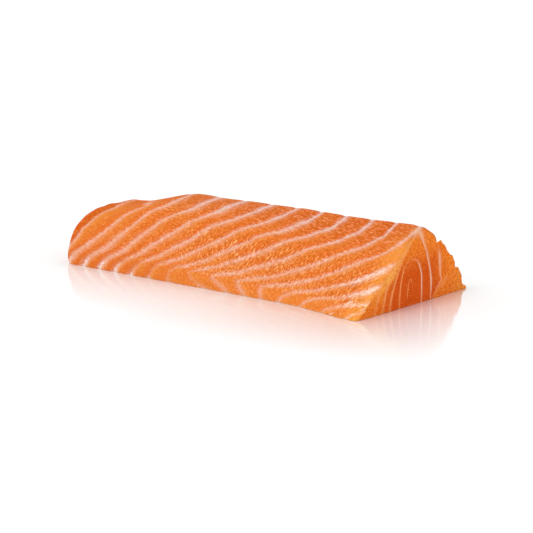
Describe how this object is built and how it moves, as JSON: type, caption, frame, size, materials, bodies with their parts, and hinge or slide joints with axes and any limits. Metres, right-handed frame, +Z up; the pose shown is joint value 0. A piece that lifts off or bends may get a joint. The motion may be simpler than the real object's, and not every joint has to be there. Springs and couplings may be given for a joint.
{
  "type": "salmon fillet",
  "caption": "Thick raw salmon piece, flat underneath, with a long seamed slope, a steeper flaky back and a cut at each end.",
  "frame": {"origin": "under the middle of the piece, on the flat face it lies on", "axes": "+X along the piece to the peaked cut end, +Z up, -Y towards the long seamed slope"},
  "size_m": [0.14, 0.0649, 0.0264],
  "materials": {
    "raw_salmon": "wet raw salmon flesh: orange muscle bands with soft pale pink seams of connective tissue, glossy and slightly translucent"
  },
  "bodies": {
    "root": {"salmon_fillet": "raw_salmon"}
  },
  "joints": []
}
